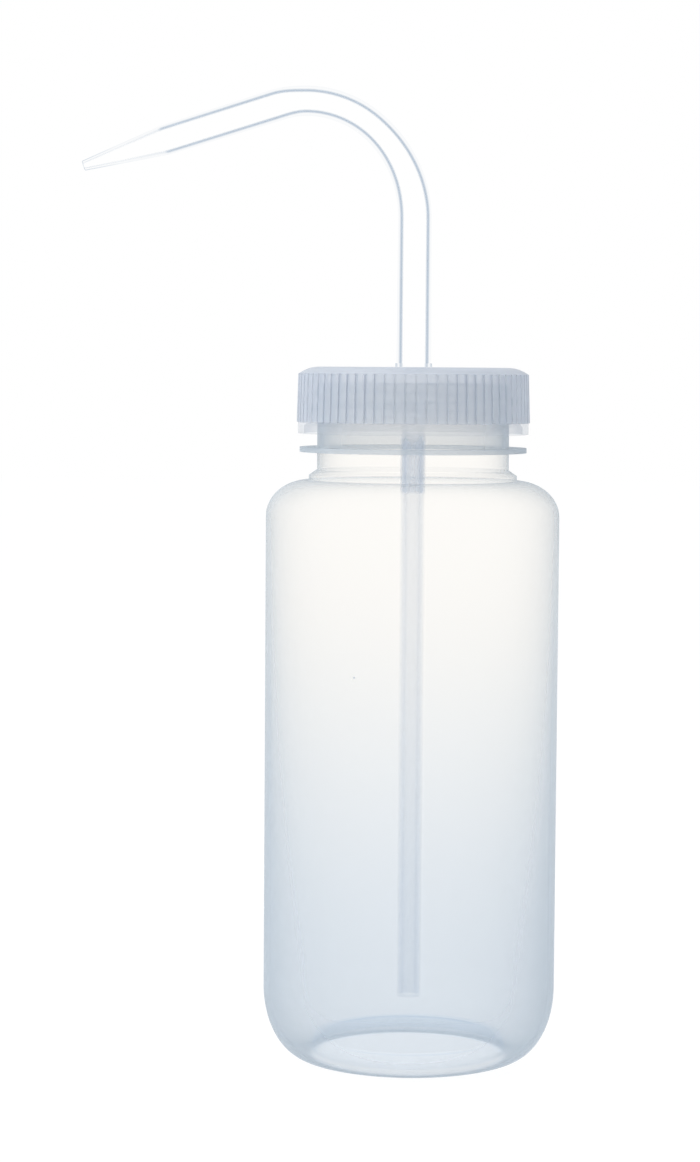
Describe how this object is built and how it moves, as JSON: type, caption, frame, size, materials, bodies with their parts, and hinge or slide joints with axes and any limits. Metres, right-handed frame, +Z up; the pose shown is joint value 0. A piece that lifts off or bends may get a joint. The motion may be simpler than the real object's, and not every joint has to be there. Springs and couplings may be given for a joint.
{
  "type": "wash bottle",
  "caption": "Translucent squeeze bottle with a ribbed screw closure, a bent spout drawn to a fine tip and a dip tube that reaches down to the base.",
  "frame": {"origin": "centre of the base on the bottle's axis, on the surface that the bottle stands on", "axes": "+Z up along the bottle's axis; the spout reaches out along -X; +Y is to the rear when the spout points left"},
  "size_m": [0.1196, 0.0734, 0.2435],
  "materials": {
    "bottle": "translucent blown polyethylene, satin",
    "closure": "translucent moulded polypropylene, satin",
    "spout": "clear drawn tube, smooth",
    "dip_tube": "translucent extruded tube, smooth"
  },
  "bodies": {
    "bottle": {"bottle": "bottle"},
    "dip_tube": {"dip_tube": "dip_tube"},
    "closure": {"closure": "closure"},
    "spout": {"spout": "spout"}
  },
  "joints": [
    {"name": "closure_rise", "type": "slide", "parent": "bottle", "child": "dip_tube", "axis": [0, 0, 1], "range_m": [0, 0.00636]},
    {"name": "closure_turn", "type": "hinge", "parent": "dip_tube", "child": "closure", "pos_m": [0, 0, 0.165], "axis": [0, 0, 1], "range_deg": [0, 540]},
    {"name": "spout_swivel", "type": "hinge", "parent": "dip_tube", "child": "spout", "pos_m": [0, 0, 0.158], "axis": [0, 0, 1], "continuous": true}
  ],
  "couplings": [
    {"joint": "closure_rise", "follows": "closure_turn", "m_per_rad": 0.00067376}
  ]
}
